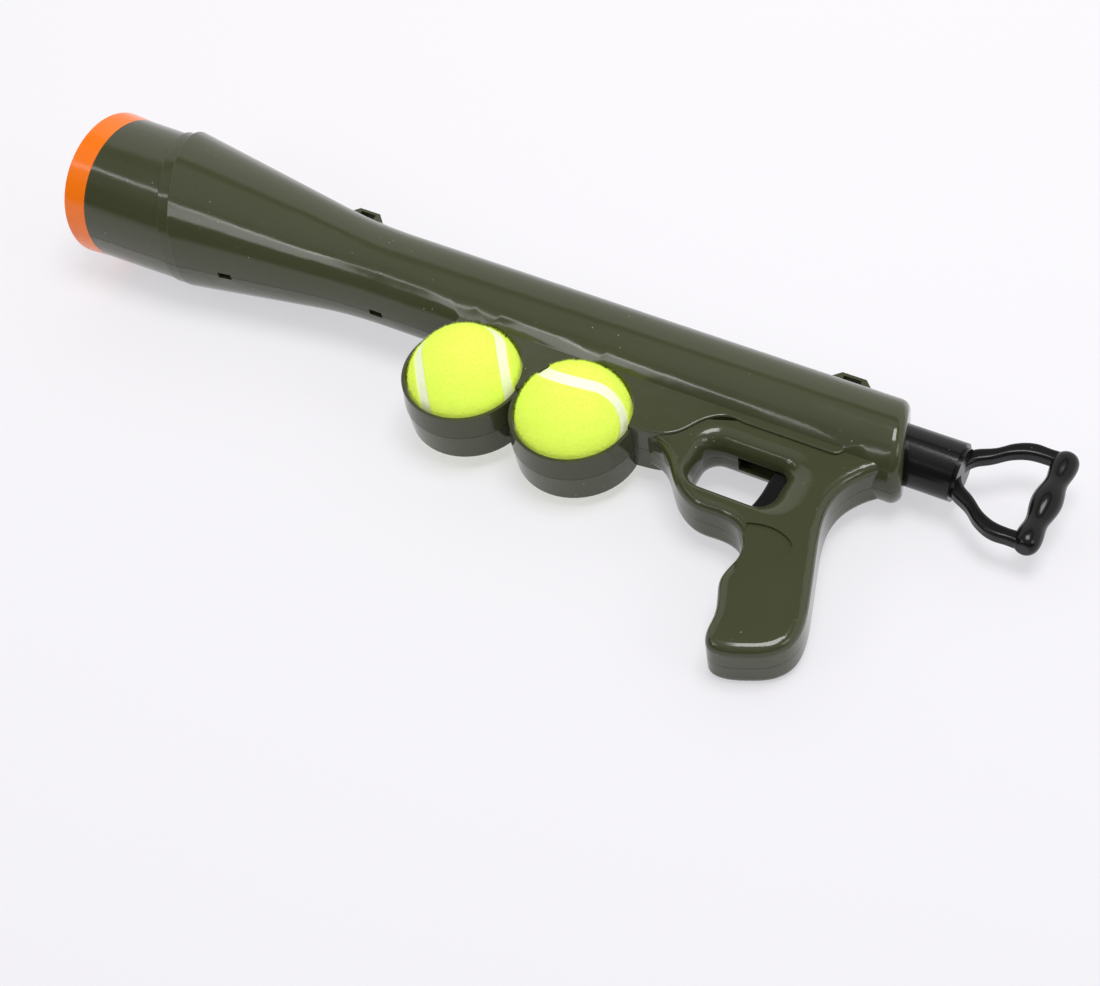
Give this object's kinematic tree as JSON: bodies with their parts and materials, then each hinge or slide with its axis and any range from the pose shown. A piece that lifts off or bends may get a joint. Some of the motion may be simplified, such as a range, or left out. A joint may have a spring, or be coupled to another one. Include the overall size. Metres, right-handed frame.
{
  "type": "dog tennis ball launcher",
  "caption": "Hand-held plunger gun that shoots a tennis ball for a dog: flared barrel with a bright muzzle ring, pistol grip, D-shaped pull handle and side cups that hold spare balls.",
  "frame": {"origin": "middle of the bottom of the whole part's bounding box, with the launcher lying on its right side", "axes": "+X along the barrel from the muzzle to the pull handle, +Y towards the launcher's top (sight side), +Z towards its left side, up as it lies"},
  "size_m": [0.597, 0.1972, 0.0881],
  "materials": {
    "olive": "glossy moulded",
    "orange": "glossy moulded",
    "black_gloss": "glossy moulded",
    "black_matte": "moulded",
    "liner": "natural",
    "steel": "zinc plated",
    "seat_rubber": "matte",
    "elastic": "natural latex",
    "core_rubber": "matte",
    "felt": "felt"
  },
  "bodies": {
    "launcher": {"left_shell": "olive", "right_shell": "olive", "shell_screws": "steel", "muzzle_ring": "orange", "ball_tube": "liner", "ball_seat": "seat_rubber", "rear_bushing": "liner", "elastic_posts": "steel", "left_elastic": "elastic", "right_elastic": "elastic", "trigger_pin": "steel", "trigger_spring": "steel"},
    "plunger": {"pull_handle": "black_gloss", "handle_pin": "steel", "pull_tube": "black_gloss", "catch_block": "steel", "plunger_head": "black_matte", "head_pin": "steel", "head_bumper": "seat_rubber", "band_cross_pin": "steel"},
    "trigger_lever": {"trigger": "black_gloss", "sear_plate": "steel"},
    "front_ball": {"front_ball_core": "core_rubber", "front_ball_felt": "felt"},
    "rear_ball": {"rear_ball_core": "core_rubber", "rear_ball_felt": "felt"}
  },
  "joints": [
    {"name": "plunger_slide", "type": "slide", "parent": "launcher", "child": "plunger", "axis": [1, 0, 0], "range_m": [0, 0.12], "stiffness_N_per_m": 500, "springref_m": -0.05, "deforming": ["left_elastic", "right_elastic"]},
    {"name": "trigger_pull", "type": "hinge", "parent": "launcher", "child": "trigger_lever", "pos_m": [0.1655, 0.02734, 0.04407], "axis": [0, 0, 1], "range_deg": [0, 6], "stiffness_Nm_per_rad": 0.5, "springref_deg": -8.59},
    {"name": "front_ball_lift", "type": "slide", "parent": "launcher", "child": "front_ball", "axis": [0, 0, 1], "range_m": [0, 0.07]},
    {"name": "rear_ball_lift", "type": "slide", "parent": "launcher", "child": "rear_ball", "axis": [0, 0, 1], "range_m": [0, 0.07]}
  ]
}
